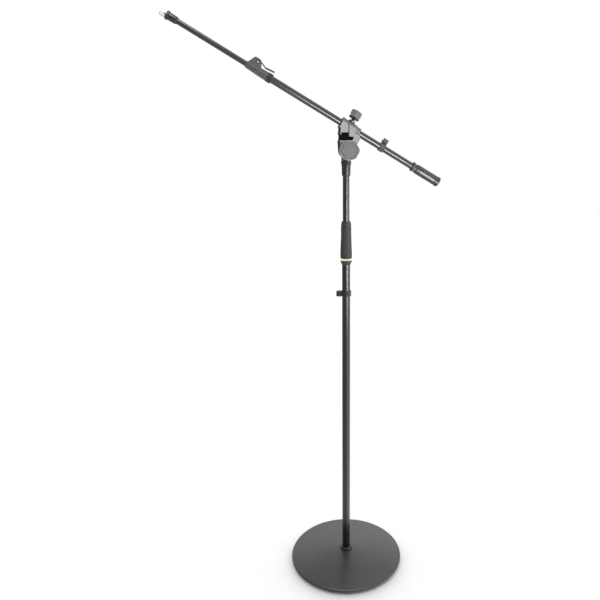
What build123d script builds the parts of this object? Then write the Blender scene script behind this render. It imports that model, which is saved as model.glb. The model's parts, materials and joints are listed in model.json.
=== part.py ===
"""Boom microphone stand: cast round base, two-stage mast with a twist clutch, two-point boom head and a
telescoping boom with a cam-lever lock.

Frame: origin on the floor at the centre of the base, +Z up along the mast, boom in the XZ plane with its
microphone end towards -X. All lengths are in millimetres.
"""
import os
from math import cos, radians, sin

from build123d import *

# ---- driving dimensions ---------------------------------------------------------------------------------
BASE_R = 145.0            # round cast base
BASE_UNDERSIDE = 2.0      # the rubber ring lifts the casting off the floor
BASE_RIM_TOP = 10.5
BASE_TOP = 24.0           # flat land that the mast stands on

LOWER_TUBE_R = 10.0
LOWER_TUBE_BORE_R = 8.5
LOWER_TUBE_TOP = 858.0
UPPER_TUBE_R = 8.0
UPPER_TUBE_BORE_R = 6.8
UPPER_TUBE_BOTTOM = 240.0
UPPER_TUBE_TOP = 1046.0

CLUTCH_BOTTOM = 797.0
CLUTCH_RING_BOTTOM = 808.0
GRIP_BOTTOM = 813.6
GRIP_TOP = 903.1
CLUTCH_THREAD_R = 11.2

MAST_CLIP_Z = 725.5       # middle of the cable clip on the mast
CLIP_WIDTH = 13.0
HOOK_BORE_R = 4.2         # takes a microphone cable of 6 to 8 mm
HOOK_R = 6.7

PIVOT_Z = 1070.0          # height of the tilt axis
BOOM_TILT = 30.0          # degrees above horizontal, microphone end up
BOOM_OFFSET = 50.0        # from the tilt axis to the boom's axis
LUG_R = 16.0
LUG_HALF = 6.0
DISC_THICKNESS = 1.8
CHEEK_INNER = 8.1
CHEEK_OUTER = 13.6
PIVOT_BOLT_R = 4.0

BOOM_TUBE_R = 8.0
BOOM_TUBE_BORE_R = 7.0
INNER_TUBE_R = 6.0
INNER_TUBE_BORE_R = 5.0

# Stations along the boom, measured from the foot of the perpendicular from the tilt axis, forwards positive.
EYE_REAR, EYE_FRONT = 5.0, 42.0
TONGUE_REAR = -6.0
CLAMP_STATION = 21.2
BOOM_CLIP_STATION = -71.0
WEIGHT_REAR, WEIGHT_FRONT = -232.0, -159.0
OUTER_TUBE_REAR, OUTER_TUBE_FRONT = -228.0, 262.0
SLEEVE_REAR, SLEEVE_FRONT = 226.0, 291.0
LEVER_STATION, LEVER_HEIGHT = 270.8, 17.2
INNER_TUBE_REAR, INNER_TUBE_FRONT = 125.0, 468.0
FITTING_REAR, FITTING_FRONT = 455.5, 475.5
ADAPTER_REAR, ADAPTER_FRONT = 481.3, 494.3

SLIP = 0.06               # radial clearance of a running or sliding fit
SEAT = 0.02               # radial clearance of a part fixed on its tube
STUD_R = 4.76             # 3/8 inch stand thread
ADAPTER_R = 7.94          # 5/8 inch stand thread

# ---- planes and axes ------------------------------------------------------------------------------------
tilt = radians(BOOM_TILT)
boom_front = Vector(-cos(tilt), 0, sin(tilt))
boom_normal = Vector(sin(tilt), 0, cos(tilt))
pivot_point = Vector(0, 0, PIVOT_Z)
boom_foot = pivot_point + boom_normal * BOOM_OFFSET

mast_side = Plane.XZ                                                      # sketch x = radius, y = height
pivot_side = Plane(origin=pivot_point, x_dir=(1, 0, 0), z_dir=(0, -1, 0))  # outlines seen from the front
pivot_plan = Plane(origin=pivot_point, x_dir=(1, 0, 0), z_dir=(0, 0, 1))   # sketch x = radius, y = world Y
boom_side = Plane(origin=boom_foot, x_dir=boom_front, z_dir=(0, 1, 0))     # sketch x = station, y = normal
boom_cross = Plane(origin=boom_foot, x_dir=boom_normal, z_dir=boom_front)  # sketch x = normal, y = world Y
clamp_point = boom_foot + boom_front * CLAMP_STATION
clamp_cross = Plane(origin=clamp_point, x_dir=boom_front, z_dir=boom_normal)

pivot_axis = Axis(pivot_point, (0, 1, 0))
boom_axis = Axis(boom_foot, boom_front)
clamp_axis = Axis(clamp_point, boom_normal)


def end_faces(piece, axis):
    """The first and last face of a piece along an axis."""
    faces = piece.faces().sort_by(axis)
    return faces[0], faces[-1]


# =========================================================================================================
# Base and lower mast
# =========================================================================================================
BOLT_HOLE_R = 5.3
RECESS_R, RECESS_TOP = 22.0, 12.0
RING_GROOVE_IN, RING_GROOVE_OUT, RING_GROOVE_TOP = 127.0, 137.0, 4.5
BASE_LAND_R = 20.0
FOOT_COLLAR_R = 15.8

with BuildPart() as base_plate:
    with BuildSketch(mast_side):
        with BuildLine():
            Polyline(
                (BASE_LAND_R, BASE_TOP), (BOLT_HOLE_R, BASE_TOP), (BOLT_HOLE_R, RECESS_TOP),
                (RECESS_R, RECESS_TOP), (RECESS_R, BASE_UNDERSIDE), (RING_GROOVE_IN, BASE_UNDERSIDE),
                (RING_GROOVE_IN, RING_GROOVE_TOP), (RING_GROOVE_OUT, RING_GROOVE_TOP),
                (RING_GROOVE_OUT, BASE_UNDERSIDE), (BASE_R - 1.5, BASE_UNDERSIDE),
                (BASE_R, BASE_UNDERSIDE + 1.5), (BASE_R, BASE_RIM_TOP - 3.5),
            )
            RadiusArc((BASE_R, BASE_RIM_TOP - 3.5), (BASE_R - 3.5, BASE_RIM_TOP), -3.5)
            ThreePointArc((BASE_R - 3.5, BASE_RIM_TOP), (82.0, 18.8), (BASE_LAND_R, BASE_TOP))
        make_face()
    revolve(axis=Axis.Z)

with BuildPart() as base_rubber_ring:
    with BuildSketch(mast_side):
        with Locations(((RING_GROOVE_IN + RING_GROOVE_OUT) / 2, RING_GROOVE_TOP / 2)):
            Rectangle(RING_GROOVE_OUT - RING_GROOVE_IN - 0.4, RING_GROOVE_TOP)
    revolve(axis=Axis.Z)
    fillet(base_rubber_ring.edges().group_by(Axis.Z)[0], 1.0)

WASHER_THICKNESS = 2.0
with BuildPart() as base_washer:
    with BuildSketch(Plane.XY.offset(RECESS_TOP - WASHER_THICKNESS)):
        Circle(10.0)
        Circle(BOLT_HOLE_R, mode=Mode.SUBTRACT)
    extrude(amount=WASHER_THICKNESS)

with BuildPart() as base_bolt:
    with BuildSketch(Plane.XY.offset(3.6)):
        RegularPolygon(radius=8.5, side_count=6, major_radius=False)
    extrude(amount=RECESS_TOP - WASHER_THICKNESS - 3.6)
    chamfer(base_bolt.edges().group_by(Axis.Z)[0], 0.8)
    with BuildSketch(Plane.XY.offset(RECESS_TOP - WASHER_THICKNESS)):
        Circle(4.9)
    extrude(amount=36.0)

with BuildPart() as base_cap:
    with BuildSketch(Plane.XY):
        Circle(RECESS_R - 0.2)
    extrude(amount=3.4)
    fillet(base_cap.edges().group_by(Axis.Z)[0], 1.0)

with BuildPart() as foot_insert:
    with BuildSketch(Plane.XY.offset(BASE_TOP)):
        Circle(LOWER_TUBE_BORE_R - SEAT)
        Circle(4.95, mode=Mode.SUBTRACT)
    extrude(amount=24.0)

with BuildPart() as foot_collar:
    with BuildSketch(Plane.XY.offset(BASE_TOP)):
        Circle(FOOT_COLLAR_R)
        Circle(LOWER_TUBE_R + SEAT, mode=Mode.SUBTRACT)
    extrude(amount=6.5)
    chamfer(foot_collar.edges().group_by(Axis.Z)[-1].sort_by(SortBy.LENGTH)[-1], 1.6)

with BuildPart() as lower_tube:
    with BuildSketch(Plane.XY.offset(BASE_TOP)):
        Circle(LOWER_TUBE_R)
        Circle(LOWER_TUBE_BORE_R, mode=Mode.SUBTRACT)
    extrude(amount=LOWER_TUBE_TOP - BASE_TOP)

# =========================================================================================================
# Twist clutch
# =========================================================================================================
BODY_TOP = 870.0
COLLET_TOP = 893.0

with BuildPart() as clutch_body:
    with BuildSketch(mast_side):
        with BuildLine():
            Polyline(
                (LOWER_TUBE_R + SEAT, CLUTCH_BOTTOM + 3), (CLUTCH_THREAD_R, CLUTCH_BOTTOM + 3),
                (CLUTCH_THREAD_R, BODY_TOP), (8.7, BODY_TOP), (8.7, LOWER_TUBE_TOP + 0.1),
                (LOWER_TUBE_R + SEAT, LOWER_TUBE_TOP + 0.1), close=True,
            )
        make_face()
    revolve(axis=Axis.Z)

with BuildPart() as clutch_cup:
    with BuildSketch(mast_side):
        with BuildLine():
            Polyline(
                (LOWER_TUBE_R + SEAT, CLUTCH_BOTTOM), (10.8, CLUTCH_BOTTOM), (13.6, CLUTCH_BOTTOM + 7.5),
                (14.2, CLUTCH_BOTTOM + 9.5), (14.2, CLUTCH_RING_BOTTOM), (11.25, CLUTCH_RING_BOTTOM),
                (11.25, CLUTCH_BOTTOM + 2.9), (LOWER_TUBE_R + SEAT, CLUTCH_BOTTOM + 2.9), close=True,
            )
        make_face()
    revolve(axis=Axis.Z)

with BuildPart() as clutch_colour_ring:
    with BuildSketch(Plane.XY.offset(CLUTCH_RING_BOTTOM + 0.1)):
        Circle(14.5)
        Circle(11.25, mode=Mode.SUBTRACT)
    extrude(amount=5.0)
    fillet(clutch_colour_ring.edges().filter_by(GeomType.CIRCLE).sort_by(SortBy.RADIUS)[-2:], 0.6)

with BuildPart() as clutch_collet:
    with BuildSketch(mast_side):
        with BuildLine():
            Polyline(
                (UPPER_TUBE_R + SLIP, BODY_TOP + 0.3), (10.4, BODY_TOP + 0.3), (10.4, BODY_TOP + 4),
                (9.3, COLLET_TOP), (UPPER_TUBE_R + SLIP, COLLET_TOP), close=True,
            )
        make_face()
    revolve(axis=Axis.Z)
    with BuildSketch(Plane.XY.offset(BODY_TOP + 5)):
        for turn in (0, 60, 120):
            Rectangle(24, 1.2, rotation=turn)
    extrude(amount=COLLET_TOP - BODY_TOP, mode=Mode.SUBTRACT)

with BuildPart() as clutch_grip:
    with BuildSketch(mast_side):
        with BuildLine():
            Polyline(
                (11.5, GRIP_BOTTOM), (11.5, BODY_TOP + 1), (10.8, BODY_TOP + 3), (9.75, COLLET_TOP + 0.4),
                (9.75, 901.1), (8.5, 901.1), (8.5, GRIP_TOP), (10.2, GRIP_TOP), (10.9, 902.4),
                (12.4, 893.5), (12.6, 891.0), (12.6, 889.6), (11.9, 888.9), (11.9, 887.7), (12.8, 887.0),
                (12.9, 883.0), (12.5, 877.0), (13.4, 849.0), (14.2, 828.0), (14.3, 816.0),
                (14.1, GRIP_BOTTOM), close=True,
            )
        make_face()
    revolve(axis=Axis.Z)

with BuildPart() as clutch_wiper:
    with BuildSketch(Plane.XY.offset(896.0)):
        Circle(9.7)
        Circle(UPPER_TUBE_R + 0.35, mode=Mode.SUBTRACT)
    extrude(amount=5.0)

# =========================================================================================================
# Cable clip on the mast: a band round the tube with an open hook beside it
# =========================================================================================================
BAND_WALL = 2.6
CLIP_EDGE = 0.35
mast_hook_x = -(LOWER_TUBE_R + BAND_WALL + HOOK_R - 1.2)

with BuildPart() as mast_cable_clip:
    with BuildSketch(Plane.XY.offset(MAST_CLIP_Z - CLIP_WIDTH / 2)):
        Circle(LOWER_TUBE_R + BAND_WALL)
        with Locations((mast_hook_x, 0)):
            Circle(HOOK_R)
        Circle(LOWER_TUBE_R + SLIP, mode=Mode.SUBTRACT)
        with Locations((mast_hook_x, 0)):
            Circle(HOOK_BORE_R, mode=Mode.SUBTRACT)
        with Locations((mast_hook_x - 0.7 * HOOK_R, 0.7 * HOOK_R)):
            Rectangle(8.0, 4.4, rotation=-45, mode=Mode.SUBTRACT)
        with Locations((LOWER_TUBE_R * 0.7, LOWER_TUBE_R)):
            Rectangle(1.5, 12.0, rotation=-35, mode=Mode.SUBTRACT)
    extrude(amount=CLIP_WIDTH)
    fillet(mast_cable_clip.edges().filter_by(Axis.Z), 0.5)
    for clip_face in end_faces(mast_cable_clip, Axis.Z):
        chamfer(clip_face.edges(), CLIP_EDGE)

# =========================================================================================================
# Upper mast
# =========================================================================================================
JOURNAL_R = 5.6
BUSH_LENGTH = 17.2

with BuildPart() as upper_tube:
    with BuildSketch(Plane.XY.offset(UPPER_TUBE_BOTTOM)):
        Circle(UPPER_TUBE_R)
        Circle(UPPER_TUBE_BORE_R, mode=Mode.SUBTRACT)
    extrude(amount=UPPER_TUBE_TOP - UPPER_TUBE_BOTTOM)

with BuildPart() as upper_tube_plug:
    with BuildSketch(mast_side):
        with BuildLine():
            Polyline(
                (0, UPPER_TUBE_BOTTOM + 22), (UPPER_TUBE_BORE_R - SEAT, UPPER_TUBE_BOTTOM + 22),
                (UPPER_TUBE_BORE_R - SEAT, UPPER_TUBE_BOTTOM), (JOURNAL_R, UPPER_TUBE_BOTTOM),
                (JOURNAL_R, UPPER_TUBE_BOTTOM - BUSH_LENGTH - 0.8),
                (7.6, UPPER_TUBE_BOTTOM - BUSH_LENGTH - 0.8),
                (7.6, UPPER_TUBE_BOTTOM - BUSH_LENGTH - 4),
                (0, UPPER_TUBE_BOTTOM - BUSH_LENGTH - 4), close=True,
            )
        make_face()
    revolve(axis=Axis.Z)

with BuildPart() as mast_guide_bush:
    with BuildSketch(Plane.XY.offset(UPPER_TUBE_BOTTOM - BUSH_LENGTH - 0.4)):
        Circle(LOWER_TUBE_BORE_R - SLIP)
        Circle(JOURNAL_R + SLIP, mode=Mode.SUBTRACT)
    extrude(amount=BUSH_LENGTH)

SOCKET_BOTTOM, SOCKET_TOP = 1011.0, 1037.5
LOCK_RING_TOP = 1047.4
HEAD_BOTTOM = 1047.6

with BuildPart() as mast_top_stud:
    with BuildSketch(mast_side):
        with BuildLine():
            Polyline(
                (0, UPPER_TUBE_TOP - 24), (UPPER_TUBE_BORE_R - SEAT, UPPER_TUBE_TOP - 24),
                (UPPER_TUBE_BORE_R - SEAT, UPPER_TUBE_TOP), (UPPER_TUBE_R - 0.2, UPPER_TUBE_TOP),
                (UPPER_TUBE_R - 0.2, HEAD_BOTTOM - 0.1), (STUD_R, HEAD_BOTTOM - 0.1), (STUD_R, 1059.0),
                (STUD_R - 0.8, 1059.8), (0, 1059.8), close=True,
            )
        make_face()
    revolve(axis=Axis.Z)

with BuildPart() as socket_sleeve:
    with BuildSketch(mast_side):
        with BuildLine():
            Polyline(
                (UPPER_TUBE_R + SEAT, SOCKET_BOTTOM), (9.3, SOCKET_BOTTOM), (10.1, SOCKET_BOTTOM + 1.6),
                (10.3, SOCKET_BOTTOM + 4), (10.8, SOCKET_TOP), (UPPER_TUBE_R + SEAT, SOCKET_TOP), close=True,
            )
        make_face()
    revolve(axis=Axis.Z)

with BuildPart() as socket_lock_ring:
    with BuildSketch(mast_side):
        with BuildLine():
            Polyline(
                (UPPER_TUBE_R + SEAT, SOCKET_TOP + 0.1), (11.4, SOCKET_TOP + 0.1), (12.1, SOCKET_TOP + 1),
                (12.1, LOCK_RING_TOP - 1.4), (11.2, LOCK_RING_TOP), (UPPER_TUBE_R + SEAT, LOCK_RING_TOP),
                close=True,
            )
        make_face()
    revolve(axis=Axis.Z)

# =========================================================================================================
# Boom head: lower lug, friction discs and the upper holder that carries the boom
# =========================================================================================================
NECK_TOP = 1052.0

with BuildPart() as head_base:
    with BuildSketch(Plane.XY.offset(HEAD_BOTTOM)):
        Circle(11.8)
    extrude(amount=NECK_TOP - HEAD_BOTTOM)
    with BuildSketch(pivot_side):
        Circle(LUG_R)
        with Locations((0, (HEAD_BOTTOM + 1 - PIVOT_Z) / 2)):
            Rectangle(21.0, PIVOT_Z - HEAD_BOTTOM - 1)
    extrude(amount=LUG_HALF, both=True)
    fillet(head_base.edges().filter_by(GeomType.CIRCLE).group_by(Axis.Z)[0], 0.8)
    with BuildSketch(pivot_side):
        Circle(PIVOT_BOLT_R + 0.3)
    extrude(amount=LUG_HALF, both=True, mode=Mode.SUBTRACT)
    with BuildSketch(Plane.XY.offset(HEAD_BOTTOM)):
        Circle(STUD_R + SEAT)
    extrude(amount=12.6, mode=Mode.SUBTRACT)

with BuildPart() as friction_discs:
    for side in (-1, 1):
        with BuildSketch(pivot_side.offset(side * (LUG_HALF + DISC_THICKNESS / 2))):
            Circle(LUG_R - 1.0)
            Circle(PIVOT_BOLT_R + 0.6, mode=Mode.SUBTRACT)
        extrude(amount=DISC_THICKNESS / 2, both=True)

HUB_R = 17.0
CASTING_EDGE = 1.2
POCKET_DEPTH, SEAM_DEPTH, SEAM_WIDTH = 9.4, 3.6, 2.0
SHOULDER_R = 9.5
LINER_R = 9.32
EYE_BORE_R = LINER_R + SLIP
EYE_WALL_R = 12.6
BOSS_R = 7.4
BOSS_TOP = 17.0
FORK_GAP_R = LUG_R + 4.9    # clears the corners of the neck when the boom stands upright

with BuildPart() as boom_holder:
    # Web from the hub up to the eye: its front edge is upright, its rear edge leans back under the boom.
    with BuildSketch(pivot_side) as web_outline:
        Circle(HUB_R)
        with BuildLine():
            Polyline(
                (-HUB_R, 0), (HUB_R, 0), (23.0, 13.0), (31.0, 26.5), (31.5, 34.0), (-9.0, 60.0),
                (-16.0, 57.0), (-18.6, 22.0), close=True,
            )
        make_face()
        fillet(web_outline.vertices().sort_by(Axis.X)[-2:], 3.0)
    extrude(amount=CHEEK_OUTER, both=True)
    for cheek_face in end_faces(boom_holder, Axis.Y):
        fillet(cheek_face.edges(), CASTING_EDGE)
    # The eye that wraps the boom, with rounded shoulders and a boss for the clamp screw.
    with BuildSketch(boom_cross.offset(EYE_REAR)) as eye_section:
        Rectangle(2 * EYE_WALL_R, 2 * CHEEK_OUTER)
        fillet(eye_section.vertices().sort_by(Axis.X)[-2:], SHOULDER_R)
    extrude(amount=EYE_FRONT - EYE_REAR)
    with BuildSketch(boom_cross.offset(EYE_FRONT - 2.4)) as lip_section:
        with Locations((0.6, 0)):
            Rectangle(2 * EYE_WALL_R + 0.6, 2 * CHEEK_OUTER)
        fillet(lip_section.vertices().sort_by(Axis.X)[-2:], SHOULDER_R)
    extrude(amount=3.6)
    with BuildSketch(boom_cross.offset(TONGUE_REAR)):
        Circle(EYE_WALL_R - 1.2)
    extrude(amount=EYE_REAR - TONGUE_REAR)
    with BuildSketch(clamp_cross):
        Circle(BOSS_R)
    extrude(amount=BOSS_TOP)
    # A pocket and an upright seam lighten each cheek between the hub and the eye.
    for side in (-1, 1):
        with BuildSketch(pivot_side.offset(side * CHEEK_OUTER)) as pocket_outline:
            with BuildLine():
                Polyline(
                    (-25.0, 23.6), (12.5, 23.6), (15.5, 31.5), (3.4, 32.5), (3.4, 41.5), (-13.6, 41.5),
                    (-15.2, 36.0), (-25.0, 35.0), close=True,
                )
            make_face()
            fillet(pocket_outline.vertices(), 1.5)
        extrude(amount=-side * POCKET_DEPTH, mode=Mode.SUBTRACT)
        with BuildSketch(pivot_side.offset(side * CHEEK_OUTER)):
            with Locations((3.4, 46.0)):
                Rectangle(SEAM_WIDTH, 30.0)
        extrude(amount=-side * SEAM_DEPTH, mode=Mode.SUBTRACT)
    # Bores and the slot for the lug.
    with BuildSketch(boom_cross.offset(TONGUE_REAR - 30)):
        Circle(EYE_BORE_R)
    extrude(amount=EYE_FRONT - TONGUE_REAR + 60, mode=Mode.SUBTRACT)
    with BuildSketch(clamp_cross):
        Circle(PIVOT_BOLT_R + 0.1)
    extrude(amount=BOSS_TOP + 1, mode=Mode.SUBTRACT)
    with BuildSketch(clamp_cross):
        Circle(5.0)
    extrude(amount=12.3, mode=Mode.SUBTRACT)
    with BuildSketch(pivot_side):
        Circle(FORK_GAP_R)
        with Locations((0, -FORK_GAP_R / 2)):
            Rectangle(2 * FORK_GAP_R, FORK_GAP_R)
    extrude(amount=CHEEK_INNER, both=True, mode=Mode.SUBTRACT)
    with BuildSketch(pivot_side):
        Circle(PIVOT_BOLT_R + SEAT)
    extrude(amount=CHEEK_OUTER + 1, both=True, mode=Mode.SUBTRACT)

BOLT_HEAD_HEIGHT = 5.3
KNOB_THREAD_END = -41.0
with BuildPart() as pivot_bolt:
    with BuildSketch(pivot_side.offset(-CHEEK_OUTER - BOLT_HEAD_HEIGHT)):
        RegularPolygon(radius=6.5, side_count=6, major_radius=False)
    extrude(amount=BOLT_HEAD_HEIGHT)
    with BuildSketch(pivot_side.offset(-CHEEK_OUTER)):
        Circle(PIVOT_BOLT_R)
    extrude(amount=CHEEK_OUTER - KNOB_THREAD_END)

with BuildPart() as knob_washer:
    with BuildSketch(pivot_side.offset(CHEEK_OUTER)):
        Circle(11.0)
        Circle(PIVOT_BOLT_R + 0.2, mode=Mode.SUBTRACT)
    extrude(amount=1.4)

with BuildPart() as clamp_shoe:
    with BuildSketch(clamp_cross.offset(LINER_R + 0.3)):
        Circle(4.7)
    extrude(amount=2.4)

with BuildPart() as clamp_liner:
    with BuildSketch(boom_cross.offset(TONGUE_REAR)):
        Circle(LINER_R)
        Circle(BOOM_TUBE_R + SLIP, mode=Mode.SUBTRACT)
    extrude(amount=EYE_FRONT + 1.4 - TONGUE_REAR)
    with BuildSketch(boom_cross.offset(EYE_FRONT + 1.4)):
        Circle(LINER_R + 1.5)
        Circle(BOOM_TUBE_R + SLIP, mode=Mode.SUBTRACT)
    extrude(amount=1.4)

# =========================================================================================================
# Knobs: a flange, a pale ring and a six-sided cap on a threaded metal core
# =========================================================================================================
TILT_CAP_CORNER_R = 23.6
TILT_FLANGE_BACK, TILT_RING_BACK, TILT_CAP_BACK, TILT_CAP_FACE = 15.8, 33.2, 35.4, 48.5
TILT_RING_R, TILT_RING_BORE_R = 22.6, 14.0
INSERT_HEX_R = 7.5

with BuildPart() as tilt_knob_insert:
    with BuildSketch(pivot_side.offset(15.3)):
        RegularPolygon(radius=INSERT_HEX_R, side_count=6, major_radius=False)
        Circle(PIVOT_BOLT_R + SLIP, mode=Mode.SUBTRACT)
    extrude(amount=26.5)

with BuildPart() as tilt_knob_flange:
    with BuildSketch(pivot_plan):
        with BuildLine():
            Polyline(
                (8.8, -TILT_FLANGE_BACK), (11.5, -TILT_FLANGE_BACK), (12.5, -19.5), (18.5, -22.5),
                (21.0, -27.0), (22.2, -30.0), (22.2, -32.4), (21.6, 0.1 - TILT_RING_BACK),
                (8.8, 0.1 - TILT_RING_BACK), close=True,
            )
        make_face()
    revolve(axis=pivot_axis)
    with BuildSketch(pivot_side.offset(TILT_FLANGE_BACK)):
        Circle(9.5)
        RegularPolygon(radius=INSERT_HEX_R + 0.05, side_count=6, major_radius=False, mode=Mode.SUBTRACT)
    extrude(amount=TILT_RING_BACK - TILT_FLANGE_BACK - 0.1)

with BuildPart() as tilt_knob_ring:
    with BuildSketch(pivot_side.offset(TILT_RING_BACK)):
        Circle(TILT_RING_R)
        Circle(TILT_RING_BORE_R, mode=Mode.SUBTRACT)
    extrude(amount=TILT_CAP_BACK - TILT_RING_BACK - 0.1)
    fillet(tilt_knob_ring.edges().filter_by(GeomType.CIRCLE).sort_by(SortBy.RADIUS)[-2:], 0.5)

with BuildPart() as tilt_knob_cap:
    with BuildSketch(pivot_side.offset(TILT_CAP_BACK)) as cap_outline:
        RegularPolygon(radius=TILT_CAP_CORNER_R, side_count=6)
        fillet(cap_outline.vertices(), 10.0)
    extrude(amount=TILT_CAP_FACE - TILT_CAP_BACK)
    fillet(tilt_knob_cap.faces().sort_by(Axis.Y)[0].edges(), 2.6)
    with BuildSketch(pivot_side.offset(TILT_CAP_FACE - 0.6)):
        Circle(15.5)
    extrude(amount=1.0, mode=Mode.SUBTRACT)
    with BuildSketch(pivot_side.offset(TILT_CAP_BACK)):
        Circle(TILT_RING_BORE_R)
    extrude(amount=7.0, mode=Mode.SUBTRACT)

KNOB_BACK, KNOB_RING_BACK, KNOB_CAP_BACK, KNOB_FACE = 21.8, 27.0, 29.0, 41.6
KNOB_HUB_R = 6.4

with BuildPart() as clamp_screw:
    with BuildSketch(clamp_cross.offset(12.3)):
        Circle(PIVOT_BOLT_R)
    extrude(amount=24.0)

with BuildPart() as clamp_knob_flange:
    with BuildSketch(clamp_cross.offset(KNOB_BACK)):
        Circle(12.8)
    extrude(amount=KNOB_RING_BACK - KNOB_BACK - 0.1)
    chamfer(clamp_knob_flange.edges(), 1.0)
    with BuildSketch(clamp_cross.offset(KNOB_RING_BACK - 1)):
        Circle(KNOB_HUB_R)
    extrude(amount=8.0)
    with BuildSketch(clamp_cross.offset(KNOB_BACK)):
        Circle(PIVOT_BOLT_R + SEAT)
    extrude(amount=20.0, mode=Mode.SUBTRACT)

with BuildPart() as clamp_knob_ring:
    with BuildSketch(clamp_cross.offset(KNOB_RING_BACK)):
        Circle(12.1)
        Circle(KNOB_HUB_R + 0.1, mode=Mode.SUBTRACT)
    extrude(amount=KNOB_CAP_BACK - KNOB_RING_BACK - 0.1)

with BuildPart() as clamp_knob_cap:
    with BuildSketch(clamp_cross.offset(KNOB_CAP_BACK)) as small_cap_outline:
        RegularPolygon(radius=14.2, side_count=6)
        fillet(small_cap_outline.vertices(), 5.5)
    extrude(amount=KNOB_FACE - KNOB_CAP_BACK)
    fillet(clamp_knob_cap.faces().sort_by(clamp_axis)[-1].edges(), 2.4)
    with BuildSketch(clamp_cross.offset(KNOB_CAP_BACK)):
        Circle(KNOB_HUB_R + 0.1)
    extrude(amount=8.0, mode=Mode.SUBTRACT)

# =========================================================================================================
# Boom: outer tube, counterweight and cable clip
# =========================================================================================================
with BuildPart() as boom_outer_tube:
    with BuildSketch(boom_cross.offset(OUTER_TUBE_REAR)):
        Circle(BOOM_TUBE_R)
        Circle(BOOM_TUBE_BORE_R, mode=Mode.SUBTRACT)
    extrude(amount=OUTER_TUBE_FRONT - OUTER_TUBE_REAR)

boom_hook_height = BOOM_TUBE_R + BAND_WALL + HOOK_R - 1.2

with BuildPart() as boom_cable_clip:
    with BuildSketch(boom_cross.offset(BOOM_CLIP_STATION - CLIP_WIDTH / 2)):
        Circle(BOOM_TUBE_R + BAND_WALL)
        with Locations((boom_hook_height, 0)):
            Circle(HOOK_R)
        Circle(BOOM_TUBE_R + SLIP, mode=Mode.SUBTRACT)
        with Locations((boom_hook_height, 0)):
            Circle(HOOK_BORE_R, mode=Mode.SUBTRACT)
        with Locations((boom_hook_height + 0.7 * HOOK_R, 0.7 * HOOK_R)):
            Rectangle(8.0, 4.4, rotation=45, mode=Mode.SUBTRACT)
        with Locations((-BOOM_TUBE_R * 0.9, BOOM_TUBE_R * 0.9)):
            Rectangle(1.5, 10.0, rotation=45, mode=Mode.SUBTRACT)
    extrude(amount=CLIP_WIDTH)
    fillet(boom_cable_clip.edges().filter_by(boom_axis), 0.5)
    for clip_face in end_faces(boom_cable_clip, boom_axis):
        chamfer(clip_face.edges(), CLIP_EDGE)

WEIGHT_CORE_R = 10.2
NECK_STATION = WEIGHT_FRONT - 12.0

with BuildPart() as boom_end_plug:
    with BuildSketch(boom_cross.offset(OUTER_TUBE_REAR)):
        Circle(BOOM_TUBE_BORE_R - SEAT)
        Circle(2.5, mode=Mode.SUBTRACT)
    extrude(amount=16.0)

with BuildPart() as weight_core:
    with BuildSketch(boom_cross.offset(WEIGHT_REAR)):
        Circle(WEIGHT_CORE_R)
        Circle(BOOM_TUBE_R + SEAT, mode=Mode.SUBTRACT)
    extrude(amount=NECK_STATION - WEIGHT_REAR)

with BuildPart() as weight_grip:
    with BuildSketch(boom_side):
        with BuildLine():
            Polyline(
                (WEIGHT_REAR, WEIGHT_CORE_R + SEAT), (NECK_STATION, WEIGHT_CORE_R + SEAT),
                (NECK_STATION, 11.2), (NECK_STATION - 4, 11.8), (WEIGHT_REAR, 11.8), close=True,
            )
        make_face()
    revolve(axis=boom_axis)

with BuildPart() as weight_front_collar:
    with BuildSketch(boom_side):
        with BuildLine():
            Polyline(
                (NECK_STATION + 0.1, BOOM_TUBE_R + SEAT), (WEIGHT_FRONT, BOOM_TUBE_R + SEAT),
                (WEIGHT_FRONT, 11.2), (WEIGHT_FRONT - 1, 12.0), (WEIGHT_FRONT - 3, 12.0),
                (WEIGHT_FRONT - 3.8, 11.2), (WEIGHT_FRONT - 7, 10.4), (NECK_STATION + 0.1, 10.9), close=True,
            )
        make_face()
    revolve(axis=boom_axis)

CAP_REAR = WEIGHT_REAR - 6.4
with BuildPart() as weight_end_cap:
    with BuildSketch(boom_side):
        with BuildLine():
            Polyline(
                (WEIGHT_REAR - 0.1, 3.0), (WEIGHT_REAR - 0.1, 12.3), (CAP_REAR + 1.4, 12.3),
                (CAP_REAR, 10.9), (CAP_REAR, 9.2), (CAP_REAR + 1.2, 8.6), (CAP_REAR + 1.2, 3.0), close=True,
            )
        make_face()
    revolve(axis=boom_axis)

with BuildPart() as weight_end_screw:
    with BuildSketch(boom_cross.offset(CAP_REAR + 1.2)):
        Circle(4.6)
    extrude(amount=-1.1)
    with BuildSketch(boom_cross.offset(CAP_REAR + 0.1)):
        Circle(2.45)
    extrude(amount=24.0)
    with BuildSketch(boom_cross.offset(CAP_REAR + 0.1)):
        Rectangle(10.0, 0.9)
    extrude(amount=0.6, mode=Mode.SUBTRACT)

# =========================================================================================================
# Telescope lock: clamping sleeve with two ears, eyelet, cam lever and shoe
# =========================================================================================================
COLLAR_FRONT = SLEEVE_REAR + 12.6
EAR_INNER, EAR_OUTER = 3.7, 6.4
EYELET_R, EYELET_BORE_R = 3.2, 2.3
lever_point = boom_foot + boom_front * LEVER_STATION + boom_normal * LEVER_HEIGHT
lever_side = Plane(origin=lever_point, x_dir=boom_front, z_dir=(0, 1, 0))
lock_cross = Plane(origin=boom_foot + boom_front * LEVER_STATION, x_dir=boom_front, z_dir=boom_normal)

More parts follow.
